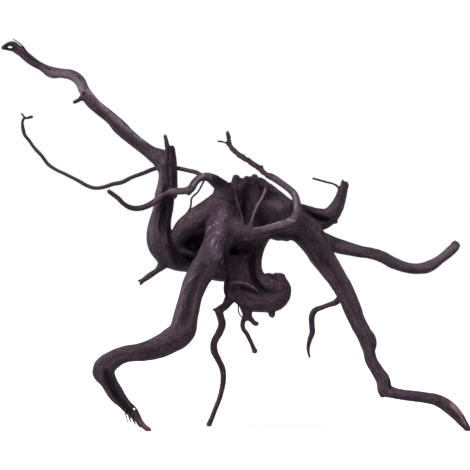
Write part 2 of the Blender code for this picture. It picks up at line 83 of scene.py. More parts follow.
# Marks that are only colour: the side of the wood they are on (-1 front, 1 back), how far back they
# reach (y from, y to), half width, strength, then (x, z) along them
# Painted shade for the most part: darker colour in the hollows, holes, cracks, nicks and dents, under the
# brow, the bridge, the claw and the ledge, behind the loop, between the parts, and down the sides turned
# away from the key light; on the rotted spike it is partly dark wood too.
PAINTED_SHADE_AND_DARK = [
    (-1, (-6, 30), 5.5, 1, [(-61, 286), (-61, 262), (-61, 240)]),  # splinter
    (-1, (-16, 25), 8, 1, [(-66, 232), (-67, 212), (-68, 196), (-66, 184), (-58, 172)]),
    (-1, (-14, 25), 10, 1, [(-46, 188), (-34, 190), (-24, 186)]),  # left hollow
    (-1, (-14, 25), 9, 0.9, [(-58, 168), (-40, 168), (-20, 166)]),
    (-1, (-26, 15), 16, 0.7, [(26, 216), (40, 210), (54, 211)]),  # panel by the stump
    (-1, (-24, 15), 10, 0.8, [(-10, 238), (-4, 228), (2, 216)]),
    (-1, (-24, 15), 12, 0.6, [(2, 249), (14, 246), (26, 247)]),  # top of the stump
    (-1, (-24, 15), 12, 0.75, [(9, 235), (14, 224), (15, 206)]),
    (-1, (-24, 15), 7, 1, [(9, 224), (12, 214), (14, 203)]),
    (-1, (-30, 15), 4.5, 1, [(-6, 240), (-1, 226), (5, 212)]),  # left of its rib
    (-1, (-24, 15), 9, 1, [(-17, 249), (-9, 243), (-3, 236)]),  # foot of the curl
    (-1, (-20, 30), 7, 1, [(-32, 194), (-36, 186), (-38, 177), (-40, 168)]),  # by the front leg
    (-1, (-20, 30), 5, 0.9, [(-50, 175), (-42, 172)]),
    (-1, (-60, -8), 1.7, 0.9, [(-16, 168), (-14.5, 160)]),  # nicks of the front leg
    (-1, (-30, 20), 2.4, 1, [(-8.6, 153.5), (-8.2, 150)]),
    (-1, (-20, 15), 9, 0.5, [(2, 181), (16, 180), (24, 181)]),  # under the brow
    (-1, (-26, 15), 7, 0.62, [(0, 171), (10, 169), (20, 171)]),
    (-1, (-22, 15), 5, 1, [(18, 174), (18, 158), (21, 147), (28, 139), (38, 138)]),
    (-1, (-84, -24), 7, 0.8, [(-31, 165), (-38, 150), (-43, 134), (-46, 118), (-51, 101)]),
    (-1, (-84, -24), 6, 0.9, [(-127, 60), (-117, 36), (-105, 20)]),
    (-1, (-40, 30), 20, 0.5, [(66, 205), (86, 176)]),  # top of the right leg
    (-1, (-30, 30), 3, 0.9, [(86.5, 197), (92, 188), (98, 178)]),  # between leg and tail
    (-1, (-40, 10), 3.6, 0.8, [(91, 171), (94, 164)]),
    (-1, (-45, -15), 2.2, 1, [(153.5, 51), (154.3, 46), (153.5, 42)]),  # hole in the heel
    (-1, (-60, -20), 2.2, 0.9, [(224.8, 21), (227.6, 15), (232, 5)]),  # rim of the flat foot
    (-1, (20, 60), 2.4, 1, [(-153.6, 336.4), (-152.8, 338)]),  # knot hole
    (-1, (20, 80), 1.4, 1, [(-158.5, 354.5), (-156.3, 351)]),
    (-1, (30, 90), 3, 0.6, [(-229, 386), (-212, 377), (-198, 367), (-188, 362)]),
    (-1, (0, 60), 4, 0.5, [(-143, 325), (-122, 305), (-100, 287), (-86, 278)]),
    (-1, (-60, -20), 2.5, 0.7, [(199.5, 35), (202, 29)]),  # dents of the right foot
    (-1, (-60, 40), 9, 0.4, [(70, 205), (84, 182), (98, 160), (108, 142)]),  # right leg
    (-1, (-60, 40), 6, 0.4, [(61, 125), (59, 118)]),
    (-1, (-30, 15), 2, 1, [(56, 225), (57, 216)]),  # behind the loop
    (-1, (-24, 15), 6, 1, [(24, 215), (27, 206)]),  # foot of the panel
    (-1, (-40, 30), 5, 1, [(38, 195), (50, 192), (62, 191)]),  # under the bridge
    (-1, (-20, 40), 5, 1, [(67, 221), (80, 214), (92, 209)]),  # under the claw
    (-1, (-45, 20), 2.2, 1, [(-9, 180), (-10, 168), (-8, 155), (-7, 148)]),  # crack by the leg
    (-1, (-40, 20), 2.2, 0.9, [(37.5, 152), (42, 149)]),  # dent of the hook
    (-1, (-30, 20), 3, 0.8, [(6, 142), (14, 139.5), (22, 136.5)]),  # under the ledge
    (-1, (-14, 25), 1.3, 1, [(-78, 268), (-76, 266)]),  # nick of the upright
    (-1, (-30, 10), 3.5, 1, [(-8, 148), (-9, 140), (-8, 132)]),  # rotted spike
]
# Painted light: paler colour where the key light falls, on the front leg's highlight and its flecks, the
# bend of the left limb, the lit side of the upright, the tops of the curl, loop, swelling and tail, and the
# crests of the shin.
PAINTED_LIGHT = [
    (-1, (-60, -8), 9, 0.6, [(-12, 214), (-19, 196), (-22, 184), (-18, 172)]),  # front leg
    (-1, (-60, -8), 1.8, 1, [(-18.5, 195.5), (-15, 196)]),
    (-1, (-60, -8), 2.6, 1, [(-22, 188.5), (-22.5, 183)]),
    (-1, (-60, -8), 1.4, 1, [(-13.8, 177), (-14.8, 172)]),
    (-1, (-60, -8), 1.6, 1, [(-17, 207.5), (-17.5, 205)]),
    (-1, (-60, -8), 1.3, 0.9, [(-28.5, 196.5), (-26.8, 201), (-23.4, 202.3)]),
    (-1, (0, 80), 9, 0.9, [(-192, 362), (-176, 358), (-160, 354), (-151, 342)]),  # bend of the left limb
    (-1, (-30, 10), 5, 0.65, [(-74, 268), (-76, 245), (-80, 226), (-84, 205), (-83, 188)]),
    (-1, (-40, 0), 6, 0.8, [(-25, 253), (-30, 255), (-44, 238), (-60, 238)]),  # curl
    (-1, (-60, -20), 7, 0.9, [(30, 202), (55, 209), (61, 218), (58, 234), (40, 250)]),
    (-1, (-30, 10), 7, 0.8, [(34, 226), (44, 224)]),  # swelling by the stump
    (-1, (-84, -40), 4, 0.45, [(-44, 156), (-51, 138), (-54, 120), (-60, 104), (-80, 92)]),
    (-1, (-84, -40), 6, 0.5, [(-133, 64), (-132, 50), (-124, 39), (-114, 28)]),  # shin of the front leg
    (-1, (10, 100), 6, 0.8, [(104, 183), (126, 178), (148, 172), (172, 162), (198, 163), (224, 182)]),
]
# Painted highlights: thin bright flecks and lines on the crests, ribs, ridges, rims and edges that catch
# the light.
PAINTED_HIGHLIGHTS = [
    (-1, (-60, -8), 1.4, 0.9, [(30.5, 240), (26.5, 230), (22, 223)]),  # right rib
    (-1, (-60, -8), 1.4, 0.6, [(22, 223), (19, 216), (17, 208)]),
    (-1, (-60, -20), 1.6, 0.7, [(20, 201), (30, 203.5), (44, 207)]),  # loop
    (-1, (-60, -20), 1.2, 1, [(51, 210), (56, 208.4), (60, 207.6)]),
    (-1, (-60, -20), 2, 0.8, [(58, 236), (60, 230), (60, 220)]),
    (-1, (-60, -8), 1.3, 0.9, [(-18.5, 206.8), (-16.5, 205.4)]),  # flecks of the front leg
    (-1, (-60, -8), 1.1, 0.7, [(-14.6, 210), (-12.6, 211)]),
    (-1, (-60, -8), 1.1, 0.6, [(-22.6, 204.4), (-20.6, 203)]),
    (-1, (-60, -8), 1.2, 0.7, [(-26.3, 200.5), (-24.6, 201.6)]),
    (-1, (-60, -8), 1.3, 0.9, [(-18.5, 196.6), (-15.2, 196.4)]),
    (-1, (-60, -8), 1.1, 0.6, [(-12.6, 195.4), (-11.4, 193.6)]),
    (-1, (-60, -8), 1.8, 0.8, [(-21.4, 189.4), (-22.8, 184.5)]),
    (-1, (-60, -8), 1.3, 0.6, [(-18.4, 183.4), (-17.6, 180.2)]),
    (-1, (-60, -8), 1.1, 0.5, [(-23.4, 178), (-24.8, 175)]),
    (-1, (-60, -8), 1.1, 0.6, [(-12, 168.6), (-12.8, 166)]),
    (-1, (-40, 10), 1.2, 0.5, [(-3.6, 154.2), (-2.8, 151.8)]),  # beside the crack
    (-1, (-60, -8), 1.1, 0.9, [(-13.6, 175.5), (-14.8, 171.5)]),
    (-1, (-60, -2), 1.1, 0.7, [(-12.8, 210.4), (-11, 209.6)]),
    (-1, (-60, -2), 1.3, 0.7, [(-2.8, 222), (-2.4, 219.5)]),
    (-1, (-60, -2), 1.1, 0.7, [(0.4, 210), (1, 207)]),
    (-1, (-84, -24), 1.7, 0.62, [(-26.5, 167), (-36, 158), (-46, 148)]),  # ridge of the front leg
    (-1, (-40, 20), 1.2, 0.5, [(-4.5, 145.3), (0, 147), (8.7, 146.7), (16.7, 143.6), (23, 139)]),
    (-1, (-40, 20), 1.2, 0.5, [(31, 153), (38, 147)]),  # ridge of the hook
    (-1, (-20, 15), 1.1, 0.6, [(-64.3, 262), (-63.2, 245), (-62.6, 236)]),  # edge of the splinter
    (-1, (-30, 5), 2, 0.8, [(-42, 244), (-37, 250), (-31, 254)]),  # curl
    (-1, (-30, 5), 1.1, 0.5, [(-76, 233), (-66, 238.5), (-60, 239.5)]),
    (-1, (-14, 25), 1, 0.5, [(-50, 178.6), (-43.5, 176.8)]),  # in the left hollow
    (-1, (-60, -20), 1.1, 0.8, [(213.6, 24.6), (219, 19.6), (223.4, 14), (228, 6)]),
    (-1, (30, 90), 6, 0.6, [(-186, 356), (-172, 357), (-160, 351), (-154, 338)]),  # bend of the left limb
    (-1, (10, 80), 3.6, 0.55, [(-149, 341), (-134, 325), (-113.5, 306), (-92, 287.5), (-80, 280)]),
]
BARE = [
    (-1, (-84, -20), 4.4, 0.8, [(-100, 12), (-94, 8), (-84, 2)]),  # tip of the front leg
    (-1, (-60, -20), 3.2, 1, [(214.5, 26.5), (219.5, 22.7), (223.6, 18.2)]),  # flat foot
    (-1, (-30, 10), 1.5, 0.8, [(-7.2, 136.2), (-6, 133)]),  # under the column
    (-1, (-60, -20), 1.2, 0.6, [(223, 18), (227, 10), (230.2, 3.4)]),
]
ROT = [
    (-1, (-30, 10), 7, 0.35, [(-50, 212), (-38, 219)]),  # left shoulder
    (-1, (-30, 10), 3.6, 0.6, [(-8, 137.5), (-4.5, 133.5), (-2, 131)]),  # under the column
    (-1, (-50, 0), 9, 0.35, [(143, 45), (155, 37)]),  # right heel
    (-1, (-84, -40), 5, 0.5, [(-63, 100), (-60, 97)]),  # front knee
    (-1, (-20, 70), 6, 0.45, [(-15, 118), (-20, 88), (-12, 58), (-20, 17), (-26, 2)]),
]

# Each kind of mark, how far it covers, and its colour: first those the mottling goes over. The pale marks
# are painted light, the bright flecks painted highlights and the dark marks mostly painted shade; bare wood
# and rot are the wood's own colour.
UNDER = [("pale", 0.55, (0.065, 0.046, 0.062)), ("rot", 0.85, (0.060, 0.027, 0.024)),
         ("bare", 1.0, (0.116, 0.060, 0.045))]
OVER = [("painted_highlight", 0.9, (0.095, 0.073, 0.088)), ("dark", 0.9, (0.0045, 0.0022, 0.0042))]
HOLLOW_SHADE = 0.45     # how strongly the inside of a hollow is marked as dark

# The wood's colours: the streaks from dark to pale, then what lies over them. The colour on the crests is a
# painted highlight, and the dirt colour also serves as painted shade in the grooves.
STREAKS = [(0.28, (0.0076, 0.0038, 0.0067)), (0.50, (0.0163, 0.0089, 0.0146)),
           (0.75, (0.0355, 0.0217, 0.0320))]
REDDISH = (0.024, 0.0115, 0.0155)
BLEACHED = (0.060, 0.041, 0.058)
DUST = (0.063, 0.043, 0.060)
# painted highlight: paler colour on the crests
CREST_HIGHLIGHT = (0.045, 0.031, 0.041)
# dark dirt in the random specks, and painted shade in the grooves
DIRT_AND_GROOVE_SHADE = (0.006, 0.003, 0.005)
PITS = (0.005, 0.0025, 0.0045)

# Loose hairs and fibres, as (x, y, z, radius) in millimetres
STRANDS = [
    [(-225.6, 62, 393, 0.45), (-219.5, 61, 389.3, 0.6), (-214.6, 60, 384.6, 0.65),
     (-211.8, 60, 380.5, 0.7)],
    [(-30.5, -9, 249, 1), (-32.5, -9, 245, 0.95), (-37, -9, 237, 0.9), (-43.3, -9, 230.5, 0.95),
     (-43.8, -9, 226, 0.95), (-44.5, -9, 221.5, 1), (-47, -8, 217, 1), (-49.5, -8, 213, 1)],
    [(3.5, -9, 124, 0.8), (3.4, -10, 118.5, 0.7), (4.8, -10, 114.5, 0.65), (7, -9, 112, 0.6)],
    [(-108.5, -56, 24, 0.8), (-107.5, -56, 16, 0.6), (-105.5, -55, 9, 0.4)],
    [(-105, -54, 19, 1.1), (-104, -55, 13.5, 0.9), (-102.4, -55, 9.6, 0.5)],
    [(-101.4, -52, 15.5, 1.2), (-99.8, -53, 10.5, 1), (-98, -53, 7, 0.5)],
    [(-97.6, -50, 11, 1.1), (-95.4, -51, 6.8, 0.9), (-93, -51, 3.8, 0.5)],
]

# The body: the stump in the middle, its jagged top and the shoulders either side
BODY = {
    "stump": [(11, 0, 189, 21), (12, 2, 207, 23), (14, 3, 224, 20), (14, 4, 237, 16.5)],
    "crown left": [(1.5, -4, 234, 7), (1.5, -5, 250.5, 5)],
    "crown middle": [(10, -8, 240, 7), (11, -7, 248.5, 5.4)],
    "crown right": [(19, -5, 238, 8), (19, -6, 250, 5.8)],
    "crown far right": [(26.5, -2, 239, 7), (26.5, -3, 247.5, 5)],
    "crown back": [(15, 14, 232, 8), (15, 16, 243, 7)],
    "crown back left": [(3, 12, 230, 8), (3, 14, 241, 6)],
    "left shoulder": [(2, 2, 216, 17), (-13, -2, 220, 16.3), (-28.5, -6, 215.2, 13.2),
                      (-41.5, -9, 207.5, 11.5), (-51.5, -9, 199.5, 10.3), (-56.5, -7, 190, 8.3),
                      (-55, -5, 181.5, 5.8), (-49, -6, 176.5, 3.6), (-42, -4, 174.5, 3.2),
                      (-34, 2, 173, 6)],
    "left hollow floor": [(-7, 18, 194, 17), (-27, 21, 190, 14), (-45, 19, 187, 12), (-63, 12, 181, 10.5)],
    "neck of the curl": [(1, 0, 224, 16), (-12.5, -1, 232, 13.5)],
    "right bridge": [(5, 4, 214, 21), (33, 3, 215, 18.5), (50, 1, 206.7, 19.4)],
    "column": [(9, 0, 197, 20), (8.5, 2, 177, 17.3), (9, 2, 157, 17), (14, 0, 138, 17.2),
               (28, -3, 133, 15), (40.2, -5, 135.3, 14.2), (43, -5, 148.3, 10.2)],
    "hook": [(29.5, -2, 147.3, 9.6), (36, -3, 143.5, 9.8)],
    "strand beside the column": [(28, -4, 197, 9), (24.4, -6, 184, 6.6), (22, -7, 167, 4.8),
                                 (24.5, -8, 153, 5), (34, -9, 144, 5.5)],
    "web under the brow": [(-8, -2, 196, 12), (-8, 1, 180, 11), (-6, 3, 165.2, 10)],
    "ledge on the column": [(-5, -14, 146, 2), (3, -17, 147.5, 2.4), (10, -18, 146, 2.5),
                            (17, -18, 142.5, 2.3), (23, -17, 138, 2)],
    "brow over the cavity": [(-11, -22, 203, 9.5), (3, -25, 198, 8), (16, -28, 196.5, 6)],
    "edge of the brow": [(1, -22, 190.5, 1.7), (8, -21.5, 190, 1.5), (14, -19.5, 188.5, 1.5),
                         (20, -15, 184, 1.5), (26, -11, 178, 1.7)],
    "rim of the round hollow": [(2.8, -14, 181.5, 0.9), (2.4, -14.5, 177.6, 1), (0.4, -15, 174.6, 1.1),
                                (-3, -14.5, 173.2, 1.4)],
    "torn edge of the curl": [(-11, -6, 243, 2), (-12.4, -7, 250.6, 0.9)],
    "torn edge beside it": [(-6.5, -6, 239, 2.4), (-8.6, -7, 247.4, 0.9)],
    "right rib of the stump": [(30, -9, 245, 2.6), (30.5, -14, 240, 2.2), (26.5, -20, 230, 1.8),
                               (22, -24, 223, 1.7), (19, -27, 216, 1.8), (17, -28, 208, 2.2),
                               (15.5, -28, 199, 4.5)],
    "left rib of the stump": [(0, -15, 241, 2.4), (1.5, -20, 228, 1.6), (4, -24, 220, 1.4),
                              (6.5, -27, 212, 1.5), (8.5, -28, 202, 2.6)],
}

# The three limbs it stands on
LEGS = {
    "front leg": [(-8, 6, 220, 13), (-11, -9, 209, 15.5), (-15, -22, 196, 15), (-21, -33, 181, 12.7),
                  (-26.5, -42, 167.5, 12.5), (-34.8, -50, 153.5, 12.2), (-41, -56, 140, 11.9),
                  (-44.3, -61, 127, 11.6), (-47.6, -66, 113.5, 12.3), (-52, -70, 98.5, 13.1),
                  (-64, -73, 90, 11.8), (-78.5, -74, 83, 10.5), (-93, -74, 79.5, 8.8),
                  (-107, -73, 77.5, 8.2), (-118.3, -71, 72.6, 8.8), (-128.5, -68, 62.4, 10.9),
                  (-124.2, -63, 50.5, 8.4), (-115.3, -57, 36.5, 7), (-109.6, -53, 27.6, 5.5),
                  (-104.5, -50, 20.6, 4.4), (-99.4, -48, 15.4, 4), (-94.6, -46, 10.4, 3.3),
                  (-90, -44, 4.8, 2.8), (-84.5, -42, 1.2, 2.4)],
    "front shin edge": [(-129, -64, 54.3, 6), (-124.4, -59, 43.5, 5), (-118.8, -55, 33.5, 4.2),
                        (-115.2, -53, 27.6, 2.5)],
    "front shin strand": [(-110.7, -52, 35, 3), (-104.3, -48, 27.9, 2), (-99.9, -46, 24.4, 1.2),
                          (-97, -45, 20.6, 1.2), (-95, -45, 16.7, 1.3), (-93.4, -45, 12.5, 1.3)],
    "right leg": [(50, 1, 206.7, 18.4), (66.4, -3, 200.4, 15.3), (78, -7, 187.8, 13.6),
                  (87.8, -11, 171.7, 12), (96.6, -14, 159, 10.4), (105.2, -17, 145.3, 9.5),
                  (112.2, -19, 132.5, 9), (117.3, -21, 119.4, 8.3), (122.6, -22, 106.3, 7.7),
                  (129.2, -23, 93.3, 7.9), (132.4, -24, 81.6, 6.5), (135, -25, 69.6, 6.1),
                  (141.3, -26, 58.6, 6.5), (147, -27, 49, 7.2), (149, -28, 41, 7.2),
                  (157, -30, 37.2, 5.9), (165.6, -32, 35.4, 5.4), (177.4, -34, 34.2, 5.6),
                  (190, -36, 32.7, 5.5), (201.5, -37, 30.2, 6), (211.5, -38, 24.2, 6.5),
                  (219.2, -39, 16.8, 5.9), (224.8, -40, 9.7, 4.7), (229.2, -40, 3.8, 3.4),
                  (231.7, -40, 1.1, 2.5)],
    "bump on the shin": [(134.4, -23, 97, 3.2), (136.6, -23, 91, 4), (137.4, -24, 85, 3.8),
                         (137, -24, 79, 2.6)],
    "right heel": [(147.6, -28, 40, 6.3), (146.6, -28, 35.2, 3.9)],
    "third leg": [(-2, -6, 135, 6), (-6, -7, 129, 5), (-9.5, -7, 123.6, 4), (-15.5, -6, 118.6, 4.2),
                  (-14.5, -3, 112, 3.6), (-13, 1, 105, 3.8), (-16, 7, 96, 3.7), (-20.4, 13, 87.7, 3.5),
                  (-21, 19, 78.5, 3.5), (-16.6, 26, 68.2, 3.1), (-12.4, 33, 58, 3), (-11.8, 39, 47.6, 2.8),
                  (-13.3, 44, 37.3, 2.7), (-16.2, 48, 27, 2.5), (-20.3, 51, 16.8, 2.5),
                  (-24.3, 53, 6.6, 2.5), (-26.7, 54, 1.5, 2.7)],
    "elbow of the third leg": [(-17, -6, 119, 3), (-21.4, -6, 119.4, 1.5)],
    "twig off the right leg": [(110, -17, 137, 6), (104, -12, 130, 3.8), (100.6, -9, 126.7, 3.3),
                               (94, -5, 124.3, 2.7), (87, -1, 121.6, 2.6), (80, 2, 118.5, 3),
                               (76.9, 4, 112.4, 3.2), (76.9, 6, 104, 2.9), (77.4, 7, 96.3, 2.8),
                               (75.2, 8, 89.8, 2.6), (73.7, 9, 83.7, 2), (73.4, 9, 77.7, 1.3),
                               (75, 10, 71.2, 0.6)],
}

# The limbs that reach out into the air
ARMS = {
    "left limb": [(8, 6, 165, 13), (-11, 10, 159.8, 12), (-29, 11, 162, 11), (-45, 9, 166.5, 10.3),
                  (-60, 4, 171, 12), (-71.3, 0, 181.5, 13.6), (-75, -1, 193, 13.4),
                  (-74.2, 0, 205, 11.3), (-72, 2, 219, 10.3), (-70.4, 4, 233, 10),
                  (-68.1, 6, 247, 9.3), (-68.1, 8, 259, 9.6), (-73.2, 9, 268.5, 9.8),
                  (-83.6, 13, 275.6, 6.9), (-94.6, 17, 284, 6), (-105.6, 22, 293, 6),
                  (-116.2, 28, 303.2, 6.6), (-125.4, 34, 312.3, 5.8), (-136.4, 39, 321.3, 6),
                  (-146.4, 45, 330.6, 6.1), (-153, 51, 341.4, 5.4), (-157.7, 55, 350.7, 5.3),
                  (-164.3, 56, 355.8, 5.2), (-175.5, 56, 358.1, 5), (-185.6, 56, 358.9, 5.8),
                  (-195.8, 58, 364.2, 4.4), (-205.1, 60, 369.4, 4.8), (-212.3, 62, 375.3, 4.9),
                  (-219.6, 64, 382.4, 4.7)],
    "upper half of the beak": [(-220.4, 64, 383.8, 3.4), (-226, 64, 388.2, 2.9),
                               (-231.2, 64, 387.5, 2.1), (-237.4, 64, 384, 1.2)],
    "lower half of the beak": [(-220.4, 65, 379.2, 2.6), (-225.7, 66, 382.1, 1.8),
                               (-231.8, 66, 383.1, 1.4), (-237.3, 64, 383.2, 1)],
    "cut stub": [(-153.8, 45, 334, 3.3), (-158.3, 41, 330.1, 1.9), (-162.5, 38, 328.1, 1.8)],
    "spike": [(-68, 8, 269, 6), (-67, 8, 278, 3.4), (-68.3, 7, 286, 2.3), (-70, 7, 293.6, 1.4)],
    "splinter": [(-63, 8, 233, 5), (-61.4, 9, 249, 3.8), (-61.5, 10, 264, 3.7), (-62.3, 10, 275, 3.3),
                 (-63, 10, 282, 2.7)],
    "dark stub": [(-70, 2, 167, 6), (-77, 6, 159, 3.2), (-86, 10, 152.8, 2.9), (-94, 14, 147.3, 2.3)],
    "upper fork of the dark stub": [(-93, 14, 148.3, 1.8), (-97.3, 15, 148.2, 1)],
    "lower fork of the dark stub": [(-93, 14, 146.5, 1.8), (-95.8, 15, 143.8, 1)],
    "curl": [(-6, 0, 237, 8.5), (-14, -3, 243, 7), (-21.5, -6, 249, 5.6), (-28, -8, 252, 4.2),
             (-35, -10, 250.6, 3.7), (-40.5, -11, 245.6, 3.7), (-44, -12, 239.8, 3.9),
             (-51, -12, 237.8, 3.4), (-58, -12, 237.5, 3.5), (-65, -12, 236.5, 3.3),
             (-73.7, -12, 231.8, 3.1),
             (-83.6, -14, 224.9, 3), (-94.7, -17, 220.6, 2.7), (-104, -21, 221.3, 2.6),
             (-110.3, -24, 224.8, 2.4), (-115.6, -27, 230.2, 2.4), (-121, -30, 234.4, 2.3),
             (-125.4, -33, 237.6, 2.1)],
    "knot on the curl": [(-44.2, -12, 239, 3), (-46.2, -12, 234.3, 1.7)],
    "whip": [(-32, -7, 252, 2.4), (-39, 4, 256.6, 2.3), (-48.1, 12, 258.9, 2.2), (-57.3, 19, 261, 2.2),
             (-68.4, 24, 262.4, 2.2), (-80.6, 27, 260.8, 2.2), (-91.7, 29, 256.6, 2.1),
             (-103.8, 32, 252.3, 2), (-115.1, 36, 247, 2.2), (-123.1, 38, 245.5, 2),
             (-132.4, 40, 242.5, 1.8), (-141.5, 42, 241.5, 1.8), (-148.7, 44, 243.6, 1.8),
             (-158.8, 46, 249.1, 1.6), (-171.1, 47, 255.4, 1.5), (-182.3, 49, 260.8, 1.5),
             (-189.4, 50, 265.9, 1.6), (-195.4, 49, 273.9, 1.5), (-203.1, 49, 282.1, 1.5),
             (-208, 49, 289.1, 1.4), (-213.1, 48, 295.8, 1.6), (-214.1, 48, 299.3, 1.9),
             (-215, 46, 306.4, 1.3), (-213.8, 44, 311.4, 1.4), (-210.1, 41, 312.2, 1.4),
             (-205, 38, 313.4, 1.5)],
    "second tip of the whip": [(-212.3, 42, 312.7, 1.1), (-215.8, 42, 316.6, 0.9)],
    "loop": [(9, -26, 195, 7), (18, -29, 195.5, 6), (27, -31, 197.5, 5.1), (37, -33, 200.6, 4.8),
             (46.6, -35, 203.2, 4.9), (55, -37, 206, 5.2), (60.4, -38, 211.8, 5), (61.7, -38, 219.8, 4.2),
             (61, -37, 226.7, 3.7), (58.8, -36, 234.2, 3.4), (53.5, -35, 239.8, 3.2),
             (46.6, -34, 245, 3.2),
             (39, -33, 250.3, 3.4), (30.7, -32, 254.7, 3), (22.8, -31, 261, 3), (13.9, -30, 267.4, 2.8),
             (5, -29, 273, 2.4), (-2, -28, 278.4, 2.3), (-5.5, -27, 283.4, 2.4), (-6.4, -26, 289.4, 1.9),
             (-7.4, -25, 295.8, 1.9)],
    "second tip of the loop": [(-6.5, -27, 284.4, 1.4), (-11, -29, 286.2, 0.9), (-17, -31, 287.1, 0.8)],
    "thorn on the loop": [(28, -32, 258.5, 1.9), (26.8, -33, 263.7, 1)],
    "claw": [(27, -2, 244, 5.8), (41, 2, 233.3, 6), (55, 6, 221.6, 7), (70.2, 10, 215.4, 7.9),
             (83.3, 14, 212, 8.2), (94.2, 17, 212.6, 8.2), (101.4, 19, 220.3, 7.3), (105.8, 21, 230.2, 5.7),
             (108.6, 23, 239.3, 4.9), (111.2, 24, 245.3, 3.7)],
    "heel of the claw": [(84, 14, 205.6, 6.4), (91, 15, 205.8, 5.2), (98, 16, 208.3, 3.8),
                         (102, 17, 207, 2.2)],
    "claw point": [(108, 22, 240, 3), (108.3, 22, 249.2, 1.4)],
    "claw twig": [(106, 22, 239.5, 1.6), (101.5, 18, 244, 1), (90.3, 12, 247.4, 0.8), (78, 6, 250.7, 0.6)],
    "tail": [(70, 9, 197, 11), (83.3, 15, 190, 8.7), (95.5, 21, 185.4, 7.6), (110.8, 27, 181, 6.7),
             (126.1, 33, 177.2, 5.9), (138.4, 39, 175.3, 5.6), (148.6, 44, 171.8, 5.9),
             (159.2, 50, 166.2, 5.8), (172.5, 56, 161.6, 5.4), (185.9, 63, 160, 5.6),
             (198.4, 69, 162.5, 5.9), (209.4, 73, 169.3, 4.9), (219.9, 78, 177.6, 5),
             (226.1, 80, 183.6, 4.6)],
    "corner of the tail": [(223, 79, 185, 3), (225, 80, 187.8, 1.4)],
    "other corner of the tail": [(225, 80, 182, 3), (229.3, 80, 182.8, 1.4)],
    "neck of the tap root": [(12, -2, 129, 9), (12, -4, 118, 5.5), (12.5, -5, 112, 4.2)],
    "tap root stub": [(13, -5, 113, 3.4), (17, -6, 108.5, 2.7), (20.5, -7, 105.3, 2.2),
                      (22.5, -7, 105.5, 1.9)],
    "tap root thread": [(10, -5, 112, 3), (7.7, -4, 106, 2.3), (8, -3, 101, 2.2), (12, -2, 95, 2.1),
                        (15.5, -1, 88, 2), (19, 0, 80, 2.1), (20, 0, 77.6, 2.7)],
    "knob under the hook": [(36.5, -5, 124, 4.7), (36.8, -6, 117, 3.6), (37, -7, 113.9, 3.3)],
    "rotted spike": [(-5, -6, 150, 5), (-7.3, -8, 142, 4.6), (-7.5, -8, 135, 3.5)],
    "stub at the back": [(15, 14, 204, 14), (22, 32, 211, 9), (29, 42, 214, 6.5), (34, 48, 213, 5)],
}

# Hollows cut out of it, as limbs of air
HOLLOWS = {
    "between the ribs": [(14, -21, 243, 8), (14, -20, 234, 10.5), (13, -19, 224, 8.5),
                         (12, -20, 213, 6), (11.5, -26, 204, 3.5)],
    "under the brow": [(-6, -16, 182, 5), (1, -15, 181, 7.2), (9, -15, 181, 7.8), (15, -14, 179, 6),
                       (19, -14, 171, 3.6)],
    "round hollow under the brow": [(-1.5, -20, 178.7, 4.2), (-1.5, -3, 178.5, 4.4)],
}

# Furrows, and raised edges where the depth is negative: the side of the wood they are on
# (-1 front, 1 back), how far back they reach (y from, y to), half width, depth, then (x, z) along them
FURROWS = [
    (-1, (-14, 20), 9, 7, [(-51, 185), (-38, 189)]),  # left hollow
    (-1, (-22, 12), 3.6, 5, [(17, 178), (16, 162), (18, 150), (23, 142), (30, 137), (38, 138)]),
    (-1, (-26, 12), 4, 2.4, [(-4, 142), (6, 142.5), (14, 138.5), (20, 133)]),  # under the ledge
    (-1, (-52, -20), 1.7, 2.5, [(-13.5, 172), (-12.3, 168)]),  # nicks of the front leg
    (-1, (-52, -20), 1.5, 2.2, [(-14.8, 165), (-14, 162)]),
    # groove and splinter side of the upright
    (-1, (-16, 22), 4, 6, [(-67, 246), (-70, 230), (-72, 215), (-73.5, 203), (-73, 186), (-66, 176)]),
    (-1, (-10, 24), 2.6, 3.5, [(-66, 288), (-66, 262), (-65, 236)]),  # beside the splinter
    # ridge down the front leg, with a groove on either side of it
    (-1, (-84, -26), 3, -1.6, [(-44, 156), (-51, 138), (-54, 120), (-59, 104), (-68, 95)]),
    (-1, (-84, -26), 6.5, 2.6, [(-37, 158), (-43, 138), (-46, 120), (-51, 101), (-63, 90)]),
    (-1, (-84, -26), 3.4, 4, [(-124.5, 64), (-126.5, 53), (-123, 43), (-115.5, 35), (-107, 25)]),
    (-1, (-12, 32), 3.5, 4, [(66, 218), (84, 209.5), (98, 208)]),  # under the claw
    (-1, (50, 72), 1.4, 2.5, [(-234, 383.6), (-224, 384)]),  # slit of the beak
    (-1, (30, 60), 2, 3, [(-153, 336), (-152, 337)]),  # knot hole
    (-1, (-45, -15), 2.2, 4, [(153.5, 51), (154.3, 46), (153.5, 42)]),  # hole in the heel
    (-1, (-65, -35), 1.4, 2.5, [(-102.2, 26), (-98.2, 21), (-96, 15)]),  # slit of the foot
    (-1, (-30, 30), 2.4, 2.6, [(86.5, 197), (92, 188), (98, 178)]),  # between leg and tail
    # long dip down the right leg, then the back
    (-1, (-45, 15), 5, 2.4, [(76, 192), (92, 163), (104, 143), (114, 122), (124, 100)]),
    (1, (-10, 45), 8, 6, [(0, 224), (10, 207), (14, 187)]),
    (1, (-10, 45), 7, 6, [(26, 205), (56, 206)]),
    (1, (-10, 45), 3.5, 4, [(-71, 250), (-75, 222), (-73, 200), (-58, 176)]),
    (1, (-60, 0), 3, 3, [(-25, 168), (-40, 145), (-46, 122), (-60, 94)]),
    (1, (-40, 20), 3, 2.5, [(73, 194), (92, 163), (108, 138), (122, 108)]),
    (1, (-10, 45), 4, 4, [(6, 182), (12, 160), (22, 138)]),
]


